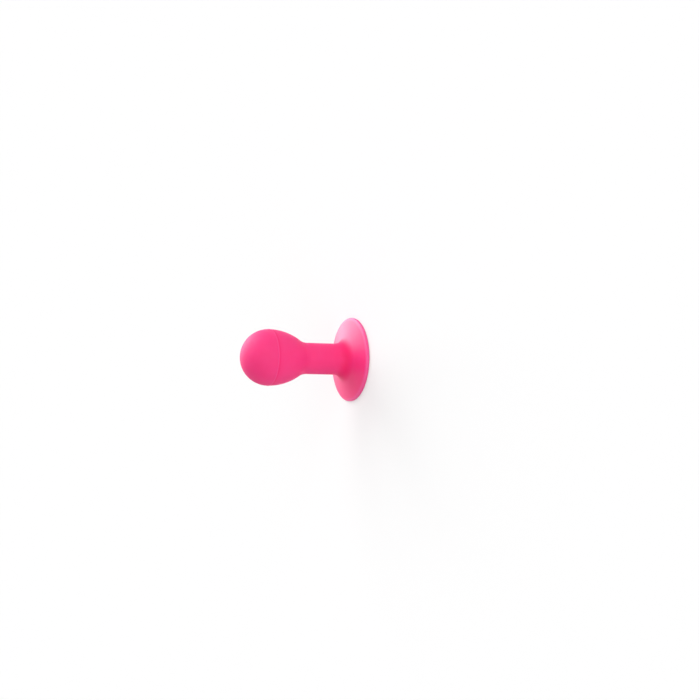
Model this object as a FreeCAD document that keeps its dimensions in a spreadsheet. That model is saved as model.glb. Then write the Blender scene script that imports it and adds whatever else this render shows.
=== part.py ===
"""Suction phone holder: a squeeze ball on a short stem above a round suction cup.

The holder is one moulding of soft silicone. It stands on its cup, with the cup's rim on the
plane z = 0 and the axis of the stem along +Z. The ball and the stem are hollow: squeezing the
ball drives air out through the stem into the cup, and letting go draws the cup onto a flat surface.
"""

import FreeCAD, Part
import math
import os

import Sketcher

V = FreeCAD.Vector

doc = FreeCAD.newDocument("suction_phone_holder")

# Driving dimensions in millimetres

DIMENSIONS = [
    ("cup_diameter", 29.4, "across the rim of the suction cup"),
    ("rim_thickness", 1.0, "height of the cup's upright outer edge"),
    ("cup_height", 3.8, "height at which the back of the cup would meet the stem"),
    ("lip_width", 1.2, "flat ring of the rim that seals on a smooth surface"),
    ("cup_depth", 2.4, "depth that the hollow under the cup would have on the axis"),
    ("stem_diameter", 10.9, "outside of the stem"),
    ("ball_diameter", 19.5, "across the ball, beside its seam"),
    ("ball_height", 31.8, "from the rim's plane to the ball's widest circle"),
    ("shoulder_radius", 20.0, "long curve from the ball's widest circle down to the stem"),
    ("ball_wall", 2.2, "wall of the ball and of its shoulder"),
    ("bore_diameter", 6.9, "air passage through the stem"),
    ("neck_radius", 6.0, "fillet between shoulder and stem"),
    ("root_radius", 4.0, "fillet between stem and cup"),
    ("rim_radius", 0.45, "rounding of the rim's two outer edges"),
    ("mouth_radius", 0.8, "rounding where the air passage opens into the cup"),
    ("throat_radius", 1.6, "rounding where the air passage opens into the ball"),
    ("seam_width", 0.55, "width of the seam line's ridge, at its foot just inside the ball's wall"),
    ("seam_height", 0.06, "how far the seam line stands out of the ball"),
]


def make_sheet():
    """The spreadsheet that every sketch reads."""
    sheet = doc.addObject("Spreadsheet::Sheet", "dims")
    for row, (alias, value, note) in enumerate(DIMENSIONS, start=1):
        sheet.set(f"A{row}", alias)
        sheet.set(f"B{row}", str(value))
        sheet.set(f"C{row}", note)
        sheet.setAlias(f"B{row}", alias)
    doc.recompute()
    return sheet


sheet = make_sheet()


def dim(alias):
    """A driving dimension's value, for where a sketch's edges are first drawn."""
    return float(sheet.get(alias))


cup_r = dim("cup_diameter") / 2
stem_r = dim("stem_diameter") / 2
ball_r = dim("ball_diameter") / 2
bore_r = dim("bore_diameter") / 2
shoulder_r = dim("shoulder_radius")

# The shoulder's arc is centred level with the ball, far enough past the axis to meet the
# ball's widest circle with no corner.
ball_centre = (0.0, dim("ball_height"))
shoulder_centre = (ball_r - shoulder_r, dim("ball_height"))

# Sketch helpers: an edge is its number in the sketch, its first end and its last end.
# A sketch counts an edge's points from 1: its start, its end and its centre. Its own axes are
# numbered down from -1, and the first one starts at the origin.

START, END, CENTRE = range(1, 4)
H_AXIS, V_AXIS = range(-1, -3, -1)
ORIGIN = (H_AXIS, START)


def new_sketch(body, name):
    """A sketch on the body's own XZ plane, so that sketch x is radius and sketch y is height."""
    sketch = body.newObject("Sketcher::SketchObject", name)
    plane = [f for f in body.Origin.OriginFeatures if f.Role == "XZ_Plane"][0]
    sketch.AttachmentSupport = [(plane, "")]
    sketch.MapMode = "FlatFace"
    return sketch


def line(sketch, a, b):
    """A straight edge from point a to point b."""
    return sketch.addGeometry(Part.LineSegment(V(*a, 0), V(*b, 0)), False), START, END


def arc(sketch, centre, a, b, hollow=False):
    """A round edge from a to b: anticlockwise, or clockwise where the outline is hollow."""
    angles = [math.atan2(y - centre[1], x - centre[0]) for x, y in (a, b)]
    radius = math.dist(centre, a)
    circle = Part.Circle(V(*centre, 0), V(0, 0, 1), radius)
    if hollow:
        return sketch.addGeometry(Part.ArcOfCircle(circle, *reversed(angles)), False), END, START
    return sketch.addGeometry(Part.ArcOfCircle(circle, *angles), False), START, END


def corner(sketch, at, *edges):
    """The point where two straight edges would meet, kept to measure from."""
    index = sketch.addGeometry(Part.Point(V(*at, 0)), True)
    for edge in edges:
        tie(sketch, "PointOnObject", index, START, edge[0])
    return index, START


def tie(sketch, kind, *where):
    """A geometric constraint."""
    return sketch.addConstraint(Sketcher.Constraint(kind, *where))


def chain(sketch, kind, *edges):
    """Joins each edge to the next, by a corner (Coincident) or smoothly (Tangent)."""
    for this, after in zip(edges, edges[1:]):
        tie(sketch, kind, this[0], this[2], after[0], after[1])


def size(sketch, kind, name, expression, *where):
    """A named dimension, set to the expression's value and then bound to it."""
    value = float(sketch.evalExpression(expression))
    index = sketch.addConstraint(Sketcher.Constraint(kind, *where, value))
    sketch.renameConstraint(index, name)
    sketch.setExpression(f"Constraints.{name}", expression)


def beside_circle(wall_r, centre, circle_r, fillet_r, side):
    """A fillet between an upright wall and the outside of a circle, above (1) or below (-1) its centre.

    Returns the fillet's centre and the points where it meets the wall and the circle.
    """
    across = wall_r + fillet_r - centre[0]
    reach = circle_r + fillet_r
    up = side * math.sqrt(reach ** 2 - across ** 2)
    middle = (wall_r + fillet_r, centre[1] + up)
    on_circle = (centre[0] + across * circle_r / reach, centre[1] + up * circle_r / reach)
    return middle, (wall_r, middle[1]), on_circle


# The moulding's outside

body = doc.addObject("PartDesign::Body", "holder_body")
body.Label = "holder_body"


def outside_sketch():
    """Half section of the outside: rim, back of the cup, stem, shoulder and ball."""
    sketch = new_sketch(body, "outside_section")
    rim_z = dim("rim_thickness")
    cup_z = dim("cup_height")
    rim_f = dim("rim_radius")
    root_f = dim("root_radius")

    # The back of the cup is a cone: its height at a radius, and the way it faces
    slope = (cup_z - rim_z) / (cup_r - stem_r)
    stretch = math.hypot(1, slope)
    facing = (slope / stretch, 1 / stretch)

    def back_z(radius):
        return rim_z + slope * (cup_r - radius)

    def off_back(point, distance):
        return point[0] + distance * facing[0], point[1] + distance * facing[1]

    low_c = (cup_r - rim_f, rim_f)
    high_c = (cup_r - rim_f, back_z(cup_r - rim_f) - rim_f * stretch)
    root_c = (stem_r + root_f, back_z(stem_r + root_f) + root_f * stretch)
    back_start = off_back(high_c, rim_f)
    back_end = off_back(root_c, -root_f)
    neck_c, neck_start, neck_end = beside_circle(stem_r, shoulder_centre, shoulder_r,
                                                 dim("neck_radius"), -1)
    widest = (ball_r, ball_centre[1])
    top = (0.0, ball_centre[1] + ball_r)

    base = line(sketch, (0, 0), (low_c[0], 0))
    rim_low = arc(sketch, low_c, (low_c[0], 0), (cup_r, low_c[1]))
    edge = line(sketch, (cup_r, low_c[1]), (cup_r, high_c[1]))
    rim_high = arc(sketch, high_c, (cup_r, high_c[1]), back_start)
    back = line(sketch, back_start, back_end)
    root = arc(sketch, root_c, back_end, (stem_r, root_c[1]), hollow=True)
    stem = line(sketch, (stem_r, root_c[1]), neck_start)
    neck = arc(sketch, neck_c, neck_start, neck_end, hollow=True)
    shoulder = arc(sketch, shoulder_centre, neck_end, widest)
    ball = arc(sketch, ball_centre, widest, top)
    axis = line(sketch, top, (0, 0))
    rim_corner = corner(sketch, (cup_r, rim_z), edge, back)
    cup_corner = corner(sketch, (stem_r, cup_z), back, stem)

    chain(sketch, "Tangent", base, rim_low, edge, rim_high, back, root, stem, neck, shoulder, ball)
    chain(sketch, "Coincident", ball, axis, base)
    tie(sketch, "Coincident", base[0], START, *ORIGIN)
    tie(sketch, "Horizontal", base[0])
    tie(sketch, "Vertical", edge[0])
    tie(sketch, "Vertical", stem[0])
    tie(sketch, "Vertical", axis[0])
    tie(sketch, "PointOnObject", ball[0], CENTRE, V_AXIS)
    tie(sketch, "Horizontal", ball[0], CENTRE, ball[0], START)
    tie(sketch, "Equal", rim_low[0], rim_high[0])
    size(sketch, "DistanceX", "cup_radius", "dims.cup_diameter / 2", *ORIGIN, edge[0], START)
    size(sketch, "DistanceY", "rim_corner", "dims.rim_thickness", *ORIGIN, *rim_corner)
    size(sketch, "DistanceY", "cup_corner", "dims.cup_height", *ORIGIN, *cup_corner)
    size(sketch, "DistanceX", "stem_radius", "dims.stem_diameter / 2", *ORIGIN, stem[0], START)
    size(sketch, "DistanceY", "ball_level", "dims.ball_height", *ORIGIN, ball[0], CENTRE)
    size(sketch, "Radius", "ball_radius", "dims.ball_diameter / 2", ball[0])
    size(sketch, "Radius", "shoulder_curve", "dims.shoulder_radius", shoulder[0])
    size(sketch, "Radius", "neck_fillet", "dims.neck_radius", neck[0])
    size(sketch, "Radius", "root_fillet", "dims.root_radius", root[0])
    size(sketch, "Radius", "rim_fillet", "dims.rim_radius", rim_low[0])
    return sketch


def turn(kind, name, sketch):
    """A full turn of a sketch about the stem's axis, added to the body or cut from it."""
    feature = body.newObject(kind, name)
    feature.Profile = sketch
    feature.ReferenceAxis = (sketch, ["V_Axis"])
    feature.Angle = 360.0
    doc.recompute()
    return feature


outside = turn("PartDesign::Revolution", "outside", outside_sketch())


# The mould's seam line round the ball

def seam_sketch():
    """Section of the seam: a low round ridge whose foot lies as deep in the wall as its top stands out."""
    sketch = new_sketch(body, "seam_section")
    half = dim("seam_width") / 2
    rise = 2 * dim("seam_height")
    ridge_r = (half ** 2 + rise ** 2) / (2 * rise)
    foot_x = ball_r - dim("seam_height")
    level = ball_centre[1]
    low = (foot_x, level - half)
    high = (foot_x, level + half)
    ridge = arc(sketch, (foot_x + rise - ridge_r, level), low, high)
    foot = line(sketch, high, low)
    chain(sketch, "Coincident", ridge, foot, ridge)
    tie(sketch, "Vertical", foot[0])
    size(sketch, "DistanceX", "foot", "dims.ball_diameter / 2 - dims.seam_height", *ORIGIN, foot[0], START)
    size(sketch, "DistanceY", "level", "dims.ball_height", *ORIGIN, ridge[0], CENTRE)
    size(sketch, "DistanceY", "width", "dims.seam_width", foot[0], END, foot[0], START)
    size(sketch, "Radius", "ridge_curve",
         "((dims.seam_width / 2) ^ 2 + (2 * dims.seam_height) ^ 2) / (4 * dims.seam_height)", ridge[0])
    return sketch


seam = turn("PartDesign::Revolution", "seam", seam_sketch())


# The hollow: the cup's dome, the air passage and the inside of the ball

def hollow_sketch():
    """Half section of the hollow, from the cup's mouth to the top of the ball."""
    sketch = new_sketch(body, "hollow_section")
    mouth_r = cup_r - dim("lip_width")
    depth = dim("cup_depth")
    dome_r = (mouth_r ** 2 + depth ** 2) / (2 * depth)
    dome_centre = (0.0, depth - dome_r)
    inner_ball_r = ball_r - dim("ball_wall")
    inner_shoulder_r = shoulder_r - dim("ball_wall")
    mouth_c, mouth_end, mouth_start = beside_circle(bore_r, dome_centre, dome_r,
                                                    dim("mouth_radius"), 1)
    throat_c, throat_start, throat_end = beside_circle(bore_r, shoulder_centre, inner_shoulder_r,
                                                       dim("throat_radius"), -1)
    widest = (inner_ball_r, ball_centre[1])
    top = (0.0, ball_centre[1] + inner_ball_r)

    base = line(sketch, (0, 0), (mouth_r, 0))
    dome = arc(sketch, dome_centre, (mouth_r, 0), mouth_start)
    mouth = arc(sketch, mouth_c, mouth_start, mouth_end, hollow=True)
    passage = line(sketch, mouth_end, throat_start)
    throat = arc(sketch, throat_c, throat_start, throat_end, hollow=True)
    shoulder = arc(sketch, shoulder_centre, throat_end, widest)
    ball = arc(sketch, ball_centre, widest, top)
    axis = line(sketch, top, (0, 0))

    chain(sketch, "Tangent", dome, mouth, passage, throat, shoulder, ball)
    chain(sketch, "Coincident", ball, axis, base, dome)
    tie(sketch, "Coincident", base[0], START, *ORIGIN)
    tie(sketch, "Horizontal", base[0])
    tie(sketch, "Vertical", passage[0])
    tie(sketch, "Vertical", axis[0])
    tie(sketch, "PointOnObject", dome[0], CENTRE, V_AXIS)
    tie(sketch, "PointOnObject", ball[0], CENTRE, V_AXIS)
    tie(sketch, "Horizontal", ball[0], CENTRE, ball[0], START)
    lip = "(dims.cup_diameter / 2 - dims.lip_width)"
    size(sketch, "DistanceX", "lip", lip, *ORIGIN, base[0], END)
    size(sketch, "Radius", "dome_curve",
         f"({lip} ^ 2 + dims.cup_depth ^ 2) / (2 * dims.cup_depth)", dome[0])
    size(sketch, "DistanceX", "bore_radius", "dims.bore_diameter / 2", *ORIGIN, passage[0], START)
    size(sketch, "DistanceY", "ball_level", "dims.ball_height", *ORIGIN, ball[0], CENTRE)
    size(sketch, "Radius", "inner_ball", "dims.ball_diameter / 2 - dims.ball_wall", ball[0])
    size(sketch, "Radius", "inner_shoulder", "dims.shoulder_radius - dims.ball_wall", shoulder[0])
    size(sketch, "Radius", "mouth_fillet", "dims.mouth_radius", mouth[0])
    size(sketch, "Radius", "throat_fillet", "dims.throat_radius", throat[0])
    return sketch


hollow = turn("PartDesign::Groove", "hollow", hollow_sketch())
body.Tip = hollow
doc.recompute()


# Checks, then the hand-over file

def check():
    """Stops if a feature failed, a section is not fully set, or the moulding is not one sound solid."""
    for item in doc.Objects:
        if {"Invalid", "Error"} & set(item.State):
            raise RuntimeError(f"{item.Label} failed: {item.State}")
    for sketch in doc.findObjects("Sketcher::SketchObject"):
        if sketch.solve() != 0 or sketch.DoF != 0:
            raise RuntimeError(f"{sketch.Label} leaves {sketch.DoF} freedoms")
    shape = body.Shape
    if shape.isNull() or not shape.isValid() or len(shape.Solids) != 1:
        raise RuntimeError("the moulding is not one sound solid")
    if not outside.Shape.Volume < seam.Shape.Volume:
        raise RuntimeError("the seam added nothing")
    if not hollow.Shape.Volume < seam.Shape.Volume:
        raise RuntimeError("the hollow cut nothing")


check()
os.makedirs("parts", exist_ok=True)
body.Shape.exportStep(f"parts/{body.Label}.step")
box = body.Shape.optimalBoundingBox(False)
print(f"{body.Label}: {box.XLength:.2f} x {box.YLength:.2f} x {box.ZLength:.2f} mm,"
      f" {body.Shape.Volume / 1000:.2f} cm3, {len(body.Shape.Faces)} faces")
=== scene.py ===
# %% [markdown]
# # A suction phone holder in soft silicone
# The holder is one moulding: a hollow ball to squeeze, a short stem, and a round suction cup.
# This lesson loads the CAD model as a fixed frame, turns a fine mesh of the same form on it,
# gives it a silicone finish, and sets up a pale floor, soft light and a camera.

# %% Load the frame
import math

import bpy
from mathutils import Matrix, Vector


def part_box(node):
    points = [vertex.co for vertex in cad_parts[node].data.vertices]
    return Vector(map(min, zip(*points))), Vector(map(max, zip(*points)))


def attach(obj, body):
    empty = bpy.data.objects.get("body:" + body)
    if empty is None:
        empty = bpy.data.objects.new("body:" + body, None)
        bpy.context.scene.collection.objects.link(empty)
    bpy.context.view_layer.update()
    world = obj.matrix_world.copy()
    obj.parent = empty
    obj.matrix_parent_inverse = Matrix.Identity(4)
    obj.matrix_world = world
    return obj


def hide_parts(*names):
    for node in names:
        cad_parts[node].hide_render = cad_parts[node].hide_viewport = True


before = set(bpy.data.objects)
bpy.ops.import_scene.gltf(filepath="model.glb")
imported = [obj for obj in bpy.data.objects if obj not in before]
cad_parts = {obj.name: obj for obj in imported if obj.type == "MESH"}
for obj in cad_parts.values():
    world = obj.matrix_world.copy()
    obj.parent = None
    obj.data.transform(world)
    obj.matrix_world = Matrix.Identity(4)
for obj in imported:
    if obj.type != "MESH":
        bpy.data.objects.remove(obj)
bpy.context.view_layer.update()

node_low, node_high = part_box("holder_body")

# %% [markdown]
# ## The sizes
# The overall sizes come from the frame: the cup is as wide as the CAD node, and the ball's top is
# the node's top. The sizes in between are the mould maker's own, so they are named here once, in
# metres, and everything that follows is worked out from them.

# %% Name the sizes
MM = 0.001
cup_r = (node_high[0] - node_low[0]) / 2
top_z = node_high[2]
rim_z = 1.0 * MM
cup_z = 3.8 * MM
lip_width = 1.2 * MM
cup_depth = 2.4 * MM
stem_r = 5.45 * MM
ball_r = 9.75 * MM
ball_z = top_z - ball_r
shoulder_r = 20.0 * MM
shoulder_x = ball_r - shoulder_r
ball_wall = 2.2 * MM
bore_r = 3.45 * MM
neck_fillet = 6.0 * MM
root_fillet = 4.0 * MM
rim_fillet = 0.45 * MM
mouth_fillet = 0.8 * MM
throat_fillet = 1.6 * MM
seam_half = 0.275 * MM
seam_height = 0.06 * MM
print(f"cup {2 * cup_r / MM:.1f} mm across, {top_z / MM:.1f} mm high, ball at {ball_z / MM:.1f} mm")

# %% [markdown]
# ## Half of the section
# A turned part is known once half of its section is known. The section here is straight runs and
# round arcs, each tangent to the next. A Bezier curve could be drawn along it by eye, but its handles
# would only come near to true arcs. So a list of points is grown run by run: an arc is sampled by
# angle, and a fillet is placed where a circle of its size touches both of its neighbours.

# %% Helpers for the section
SPACING = 0.3 * MM
FEWEST = 8


def arc_points(centre, radius, first, last):
    """Points on an arc, from the angle first to the angle last."""
    count = max(FEWEST, round(radius * abs(last - first) / SPACING))
    angles = [first + (last - first) * step / count for step in range(count + 1)]
    return [(centre[0] + radius * math.cos(a), centre[1] + radius * math.sin(a)) for a in angles]


def line_points(a, b):
    """Points on a straight run, evenly spaced."""
    shares = [step / FEWEST for step in range(FEWEST + 1)]
    return [(a[0] + (b[0] - a[0]) * s, a[1] + (b[1] - a[1]) * s) for s in shares]


def fillet_by_circle(wall_r, centre, circle_r, fillet_r, side):
    """Centre of a fillet between an upright wall and a circle, and the angle from circle to fillet."""
    across = wall_r + fillet_r - centre[0]
    up = side * math.sqrt((circle_r + fillet_r) ** 2 - across ** 2)
    return (wall_r + fillet_r, centre[1] + up), math.atan2(up, across)


def level_crossing(x_a, r_a, x_b, r_b):
    """Where two circles cross that are centred on one level line: how far along it, and how far off it."""
    x = (r_a ** 2 - r_b ** 2 - x_a ** 2 + x_b ** 2) / (2 * (x_b - x_a))
    return x, math.sqrt(r_a ** 2 - (x - x_a) ** 2)


print(f"points {SPACING / MM:.1f} mm apart on long arcs, and {FEWEST} steps on short ones")

# %% [markdown]
# The seam is where the two halves of the mould met. It stands a few hundredths of a millimetre out
# of the ball. Bump could fake it, but then the outline would show no ridge, so it is part of the
# section: a small arc between the ball's and the shoulder's.

# %% The outside, from the ball's top to the rim
ball_c = (0.0, ball_z)
shoulder_c = (shoulder_x, ball_z)
seam_rise = 2 * seam_height
seam_r = (seam_half ** 2 + seam_rise ** 2) / (2 * seam_rise)
seam_x = ball_r + seam_height - seam_r
seam_c = (seam_x, ball_z)
cross_x, cross_up = level_crossing(0.0, ball_r, seam_x, seam_r)
foot_x, foot_down = level_crossing(shoulder_x, shoulder_r, seam_x, seam_r)
neck_c, neck_turn = fillet_by_circle(stem_r, shoulder_c, shoulder_r, neck_fillet, -1)

slope = (cup_z - rim_z) / (cup_r - stem_r)
lean = math.atan(slope)
facing = math.pi / 2 - lean
root_x = stem_r + root_fillet
root_c = (root_x, rim_z + slope * (cup_r - root_x) + root_fillet / math.cos(lean))
rim_x = cup_r - rim_fillet
high_c = (rim_x, rim_z + slope * rim_fillet - rim_fillet / math.cos(lean))
low_c = (rim_x, rim_fillet)

outside = arc_points(ball_c, ball_r, math.pi / 2, math.atan2(cross_up, cross_x))
outside += arc_points(seam_c, seam_r, math.atan2(cross_up, cross_x - seam_x),
                      math.atan2(-foot_down, foot_x - seam_x))
outside += arc_points(shoulder_c, shoulder_r, math.atan2(-foot_down, foot_x - shoulder_x), neck_turn)
outside += arc_points(neck_c, neck_fillet, math.pi + neck_turn, math.pi)
outside += line_points((stem_r, neck_c[1]), (stem_r, root_c[1]))
outside += arc_points(root_c, root_fillet, math.pi, math.pi + facing)
back_end = (high_c[0] + rim_fillet * math.cos(facing), high_c[1] + rim_fillet * math.sin(facing))
outside += line_points(outside[-1], back_end)
outside += arc_points(high_c, rim_fillet, facing, 0.0)
outside += arc_points(low_c, rim_fillet, 0.0, -math.pi / 2)
print(len(outside), "points outside")

# %% [markdown]
# The ball and the stem are hollow, and the cup is domed underneath, so that squeezing the ball drives
# air out of the cup. The hollow goes on where the rim ends: under the lip, along the dome, up the
# stem's air passage and round the air chamber. One line for both sides gives the wall its thickness.

# %% The inside, from the lip to the top of the air chamber
mouth_r = cup_r - lip_width
dome_r = (mouth_r ** 2 + cup_depth ** 2) / (2 * cup_depth)
dome_c = (0.0, cup_depth - dome_r)
mouth_c, mouth_turn = fillet_by_circle(bore_r, dome_c, dome_r, mouth_fillet, 1)
inner_shoulder_r = shoulder_r - ball_wall
throat_c, throat_turn = fillet_by_circle(bore_r, shoulder_c, inner_shoulder_r, throat_fillet, -1)

inside = arc_points(dome_c, dome_r, math.atan2(-dome_c[1], mouth_r), mouth_turn)
inside += arc_points(mouth_c, mouth_fillet, math.pi + mouth_turn, math.pi)
inside += line_points((bore_r, mouth_c[1]), (bore_r, throat_c[1]))
inside += arc_points(throat_c, throat_fillet, math.pi, math.pi + throat_turn)
inside += arc_points(shoulder_c, inner_shoulder_r, throat_turn, 0.0)
inside += arc_points(ball_c, ball_r - ball_wall, 0.0, math.pi / 2)
print(len(inside), "points inside")

# %% [markdown]
# ## Turning the body
# On the bench this shape would come off a lathe, and Blender's lathe is Spin. A Screw modifier would
# do the same and stay live; Spin is chosen because it leaves plain faces that can be merged and
# checked at once. A plane merged to one vertex is the start; the vertex is extruded from point to
# point along the half section, and Spin carries the line once round the axis. Doubles at the poles
# and at the closing seam are merged before the normals are made to point outwards.

# %% Draw the half section and spin it
SEGMENTS = 192
MERGE = 0.002 * MM
SMOOTH_UNDER = math.radians(40)


def draw_line(points):
    """Extrudes one vertex along (radius, height) points in the XZ plane."""
    bpy.ops.object.select_all(action="DESELECT")
    bpy.ops.mesh.primitive_plane_add(size=MM, location=(0, 0, 0))
    bpy.ops.object.mode_set(mode="EDIT")
    bpy.ops.mesh.select_all(action="SELECT")
    bpy.ops.mesh.merge(type="CENTER")
    bpy.ops.transform.translate(value=(points[0][0], 0, points[0][1]))
    for (r_a, z_a), (r_b, z_b) in zip(points, points[1:]):
        step = {"value": (r_b - r_a, 0, z_b - z_a)}
        bpy.ops.mesh.extrude_region_move(TRANSFORM_OT_translate=step)


draw_line(outside + inside)
bpy.ops.mesh.select_all(action="SELECT")
bpy.ops.mesh.remove_doubles(threshold=MERGE)
bpy.ops.mesh.spin(steps=SEGMENTS, angle=2 * math.pi, center=(0, 0, 0), axis=(0, 0, 1))
bpy.ops.mesh.select_all(action="SELECT")
bpy.ops.mesh.remove_doubles(threshold=MERGE)
bpy.ops.mesh.normals_make_consistent(inside=False)
bpy.ops.object.mode_set(mode="OBJECT")
holder = bpy.context.object
holder.name = "silicone_holder"
holder.data.name = "silicone_holder"
bpy.ops.object.shade_smooth_by_angle(angle=SMOOTH_UNDER)
print(len(holder.data.polygons), "faces,", len(holder.data.vertices), "vertices")

# %% [markdown]
# ## The finish
# The material is dyed silicone: light enters it and comes out a millimetre or two away, so its
# shadows stay pink. Seen along the surface it turns pale, because a smooth skin mirrors the bright
# room at a low angle. The mould left a fine even grain on it, while the underside of the cup is
# polished so that it seals. Shader maths is written through one small class, so that a mask reads
# like a formula.

# %% A class for shader maths


class Shade:
    """One output of a node; arithmetic on it adds Math nodes to the same tree."""

    def __init__(self, tree, socket=None):
        self.tree = tree
        self.socket = socket

    def node(self, kind, inputs=None, output=0, **settings):
        """Adds a node, sets its settings, then fills its sockets with values or links."""
        made = self.tree.nodes.new(kind)
        for name, value in settings.items():
            setattr(made, name, value)
        for name, value in (inputs or {}).items():
            if isinstance(value, Shade):
                self.tree.links.new(value.socket, made.inputs[name])
            else:
                made.inputs[name].default_value = value
        return Shade(self.tree, made.outputs[output] if len(made.outputs) else None)

    def out(self, name):
        """Another output of the same node."""
        return Shade(self.tree, self.socket.node.outputs[name])

    def math(self, operation, first, second=0.0):
        """A Math node on two values or links."""
        return self.node("ShaderNodeMath", {0: first, 1: second}, operation=operation)

    def without_sign(self):
        """How far this value is from 0, on either side."""
        return self.math("ABSOLUTE", self)

    def step(self, low, high):
        """0 below low, 1 above high and a smooth step between them."""
        sockets = {"Value": self, "From Min": low, "From Max": high}
        return self.node("ShaderNodeMapRange", sockets, interpolation_type="SMOOTHSTEP")

    def mix(self, low, high):
        """A colour between two colours, by this value."""
        return self.node("ShaderNodeMix", {0: self, 6: low, 7: high}, output=2, data_type="RGBA")

    def __add__(self, other):
        return self.math("ADD", self, other)

    __radd__ = __add__

    def __sub__(self, other):
        return self.math("SUBTRACT", self, other)

    def __rsub__(self, other):
        return self.math("SUBTRACT", other, self)

    def __mul__(self, other):
        return self.math("MULTIPLY", self, other)

    __rmul__ = __mul__


def new_material(name):
    """An empty material, and the start of its shader maths."""
    material = bpy.data.materials.new(name)
    material.use_nodes = True
    material.node_tree.nodes.clear()
    return material, Shade(material.node_tree)


print("shader maths:", Shade.__doc__)

# %% [markdown]
# The colour is paler in a band on the cup's back next to the rim's edge and along the seam's ridge:
# painted highlight, partly the paleness of the thin edge and the thin flash. It is deeper round the
# root of the stem and in the crease under the seam, and a little deeper for two millimetres below
# that crease: painted shade. These masks could be painted on a UV map. Here each is a fade between
# two places on the part, in millimetres, so it stays sharp at any zoom and needs no map.

# %% Where the finish changes


def fade(size, before, after):
    """Where a fade starts and ends, in millimetres before and after a size in metres."""
    return size / MM - before, size / MM + after


# Painted highlight, partly the thin edge's own paleness: a band near the rim's edge
rim_highlight_fade = fade(cup_r, 1.4, -0.2)
cup_back_fade = fade(cup_z, 1.2, 1.2)
outer_skin_fade = fade(ball_r - ball_wall / 2, 0.55, 0.55)
# Painted highlight, partly the thin flash: a line on the seam's ridge
seam_highlight_fade = fade(seam_half, 0.175, -0.015)
# Painted shade in the crease under the seam and for two millimetres below it
crease_shade_below = 0.48
crease_shade_fade = (0.16, 0.40)
under_crease_shade_start = (0.2, 0.5)
under_crease_shade_end = (0.3, 2.8)
# Painted shade round the root of the stem
root_shade_out_fade = fade(stem_r, -0.8, 2.9)
root_shade_up_fade = fade(root_c[1], 2.27, 0.73)
polish_fade = fade(dome_r, -0.02, 0.08)
print("rim pale from", [round(v, 2) for v in rim_highlight_fade], "mm out")

# %% The dye, the skin and the grain
DEEP_PINK = (1.0, 0.036, 0.226, 1.0)
# Paler pink for mottling, and for painted highlight near the rim and on the seam
PALE_AND_HIGHLIGHT_PINK = (1.0, 0.115, 0.365, 1.0)
# Deeper pink for painted shade at the root and under the seam
PAINTED_SHADE_PINK = (0.95, 0.006, 0.160, 1.0)
PALE = {"rim": 0.80, "seam": 0.27, "mottle": 0.22}
# How strong the painted shade in and below the seam's crease is
PAINTED_SHADE_WEIGHT = {"crease_shade": 0.42, "under_crease_shade": 0.22}
ROUGH = {"skin": 0.60, "cup_back": -0.22, "polish": -0.14, "handled": 0.14, "grain": 0.10}
NOISE_MIDDLE = 0.5
MOTTLE_NOISE = {"Scale": 0.22, "Detail": 3.0}
HANDLED_NOISE = {"Scale": 0.12, "Detail": 2.0}
GRAIN_NOISE = {"Scale": 5.5, "Detail": 4.0, "Roughness": 0.65}
GRAIN_BUMP = {"Strength": 0.35, "Distance": 0.012 * MM}
SILICONE = {
    "IOR": 1.41,
    "Subsurface Weight": 0.35,
    "Subsurface Radius": (1.0, 0.30, 0.40),
    "Subsurface Scale": 1.0 * MM,
}
print("dye", DEEP_PINK[:3], "scatters over", SILICONE["Subsurface Scale"] / MM, "mm")

# %% The silicone


def noise_at(place, settings):
    """Noise that varies about 0."""
    return place.node("ShaderNodeTexNoise", {"Vector": place, **settings}) - NOISE_MIDDLE


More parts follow.
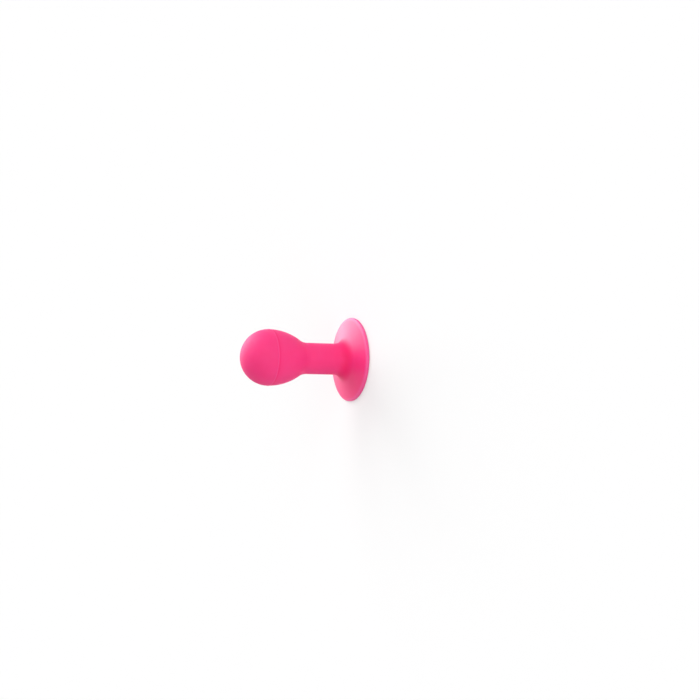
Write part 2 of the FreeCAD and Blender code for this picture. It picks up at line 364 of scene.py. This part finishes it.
def silicone_material():
    """Satin dyed silicone: painted highlight on its seam and thin rim, painted shade at its root and seam.
    """
    material, start = new_material("pink_silicone")
    place = start.node("ShaderNodeTexCoord", output="Object")
    at_mm = start.node("ShaderNodeVectorMath", {0: place, "Scale": 1 / MM}, operation="SCALE")
    x = start.node("ShaderNodeSeparateXYZ", {0: at_mm}, output="X")
    y, z = x.out("Y"), x.out("Z")
    radius = start.math("SQRT", x * x + y * y)

    # Painted highlight, partly the paleness of thin silicone: near the rim's edge and on the seam's ridge
    cup_back = 1 - z.step(*cup_back_fade)
    rim = radius.step(*rim_highlight_fade) * cup_back
    outer_skin = radius.step(*outer_skin_fade)
    below_seam = ball_z / MM - z
    seam = (1 - below_seam.without_sign().step(*seam_highlight_fade)) * outer_skin

    # Painted shade: the crease under the seam, a little below it, and round the root of the stem
    crease_shade = 1 - (below_seam - crease_shade_below).without_sign().step(*crease_shade_fade)
    under_crease_shade = below_seam.step(*under_crease_shade_start) * (1 - below_seam.step(*under_crease_shade_end))
    seam_shade = (crease_shade * PAINTED_SHADE_WEIGHT["crease_shade"] + under_crease_shade * PAINTED_SHADE_WEIGHT["under_crease_shade"]) * outer_skin
    root = (1 - radius.step(*root_shade_out_fade)) * (1 - z.step(*root_shade_up_fade))
    painted_shade = start.math("MAXIMUM", root, seam_shade)

    # Where it is polished: the hollow of the cup
    dome_centre = (0.0, 0.0, dome_c[1] / MM)
    from_dome = start.node("ShaderNodeVectorMath", {0: at_mm, 1: dome_centre}, output="Value",
                           operation="DISTANCE")
    polish = 1 - from_dome.step(*polish_fade)

    # Slow mottling of the dye, the skin's handling marks, and the mould's fine grain off the polish
    mottle = noise_at(at_mm, MOTTLE_NOISE)
    handled = noise_at(at_mm, HANDLED_NOISE)
    grain = noise_at(at_mm, GRAIN_NOISE) * (1 - polish)

    # Mottling, with painted highlight near the rim and on the seam
    mottle_and_highlight = rim * PALE["rim"] + seam * PALE["seam"] + mottle * PALE["mottle"]
    dye_and_highlight = start.math("MAXIMUM", mottle_and_highlight, 0.0).mix(DEEP_PINK, PALE_AND_HIGHLIGHT_PINK)
    # Painted shade at the root and under the seam
    colour = painted_shade.mix(dye_and_highlight, PAINTED_SHADE_PINK)
    skin = ROUGH["skin"] + cup_back * ROUGH["cup_back"] + polish * ROUGH["polish"]
    roughness = skin + handled * ROUGH["handled"] + grain * ROUGH["grain"]
    bump = start.node("ShaderNodeBump", {"Height": grain, **GRAIN_BUMP})
    shader = start.node("ShaderNodeBsdfPrincipled", {
        "Base Color": colour, "Roughness": roughness, "Normal": bump, **SILICONE})
    start.node("ShaderNodeOutputMaterial", {"Surface": shader})
    return material


holder.data.materials.append(silicone_material())
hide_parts("holder_body")
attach(holder, "root")
print("finish on", holder.name)

# %% [markdown]
# ## Floor, light and camera
# A white floor and a white world keep the studio plain. A curved backdrop could hide the horizon, but
# a wide floor under a white world shows none. The floor is white paper to the light that bounces from
# it; the camera sees the same paper lifted to white, with the shadow left on it.

# %% The floor
FLOOR_SIZE = 8.0
PAPER = (0.80, 0.80, 0.80, 1.0)
SEEN_PAPER = (0.50, 0.50, 0.50, 1.0)
WHITE = (1.0, 1.0, 1.0, 1.0)
FLOOR_LIFT = 0.456


def floor_material():
    """White paper that takes the shadow, lifted to white where the camera sees it."""
    material, start = new_material("white_floor")
    seen = start.node("ShaderNodeLightPath", output="Is Camera Ray")
    paper = start.node("ShaderNodeBsdfDiffuse", {"Color": seen.mix(PAPER, SEEN_PAPER)})
    lift = start.node("ShaderNodeEmission", {"Color": WHITE, "Strength": seen * FLOOR_LIFT})
    both = start.node("ShaderNodeAddShader", {0: paper, 1: lift})
    start.node("ShaderNodeOutputMaterial", {"Surface": both})
    return material


bpy.ops.object.select_all(action="DESELECT")
bpy.ops.mesh.primitive_plane_add(size=FLOOR_SIZE, location=(0, 0, 0))
floor = bpy.context.object
floor.name = "floor"
floor.data.materials.append(floor_material())
print("floor", FLOOR_SIZE, "m across")

# %% The world
FILL = 0.40

world = bpy.data.worlds.new("studio")
bpy.context.scene.world = world
world.use_nodes = True
world.node_tree.nodes.clear()
sky = Shade(world.node_tree)
ray = sky.node("ShaderNodeLightPath", output="Is Camera Ray")
mirrored = sky.math("MAXIMUM", ray.out("Is Glossy Ray"), ray.out("Is Transmission Ray"))
strength = FILL + sky.math("MAXIMUM", ray, mirrored) * (1 - FILL)
background = sky.node("ShaderNodeBackground", {"Color": WHITE, "Strength": strength})
sky.node("ShaderNodeOutputWorld", {"Surface": background})
print("fill light", FILL, "of white")

# %% [markdown]
# Three wide suns stand for three large soft windows. Area lamps would do as well, but their light
# falls off with distance, while a sun's strength reads the same at any size of part. The first is high
# behind the holder: it lights the back of the cup and leaves the stem's soft shadow on the near side.
# The second is low behind it and glances off the cup's far side, which turns pale. The third is beside
# the camera and keeps the near side from going dull.

# %% The windows
WINDOWS = {
    "high_window": {"toward": (0.60, 0.47, 0.65), "strength": 1.75, "width": math.radians(52)},
    "low_window": {"toward": (0.30, 0.88, 0.36), "strength": 1.5, "width": math.radians(45)},
    "front_window": {"toward": (0.10, -0.99, 0.10), "strength": 1.9, "width": math.radians(100)},
}

for name, window in WINDOWS.items():
    toward = Vector(window["toward"])
    bpy.ops.object.select_all(action="DESELECT")
    bpy.ops.object.light_add(type="SUN", location=toward)
    sun = bpy.context.object
    sun.name = name
    sun.data.energy = window["strength"]
    sun.data.angle = window["width"]
    sun.rotation_euler = toward.to_track_quat("Z", "Y").to_euler()
    print(name, "from", [round(v, 2) for v in toward])

# %% [markdown]
# The camera looks down on the cup at about 25 degrees, through a long lens, and is rolled so that
# the stem lies nearly level in the picture with the ball on the left. It could be aimed by eye; here
# it is set so that the middle of the cup's rim falls on one named point of the picture.

# %% The camera
PICTURE = 700
FOCAL_PX = 1617.8
SENSOR_MM = 36.0
CUP_PX = (351.7, 359.6)
CAMERA_DEPTH = 0.570
ELEVATION = math.radians(25.2)
ROLL = math.radians(1.67)

away = Vector((0, math.cos(ELEVATION), -math.sin(ELEVATION)))
stem_way = Vector((0, math.sin(ELEVATION), math.cos(ELEVATION)))
side_way = Vector((1, 0, 0))
up = stem_way * math.sin(ROLL) + side_way * math.cos(ROLL)
right = side_way * math.sin(ROLL) - stem_way * math.cos(ROLL)
per_px = CAMERA_DEPTH / FOCAL_PX
cup_right = (CUP_PX[0] - PICTURE / 2) * per_px
cup_down = (CUP_PX[1] - PICTURE / 2) * per_px
to_cup = away * CAMERA_DEPTH + right * cup_right - up * cup_down

bpy.ops.object.camera_add(location=-to_cup)
camera = bpy.context.object
camera.name = "camera"
camera.rotation_euler = Matrix((right, up, -away)).transposed().to_euler()
camera.data.sensor_width = SENSOR_MM
camera.data.lens = SENSOR_MM * FOCAL_PX / PICTURE
camera.data.clip_start = MM
bpy.context.scene.camera = camera
bpy.context.scene.view_settings.view_transform = "Standard"
print("lens", round(camera.data.lens, 1), "mm at", [round(v, 3) for v in camera.location])

# %% [markdown]
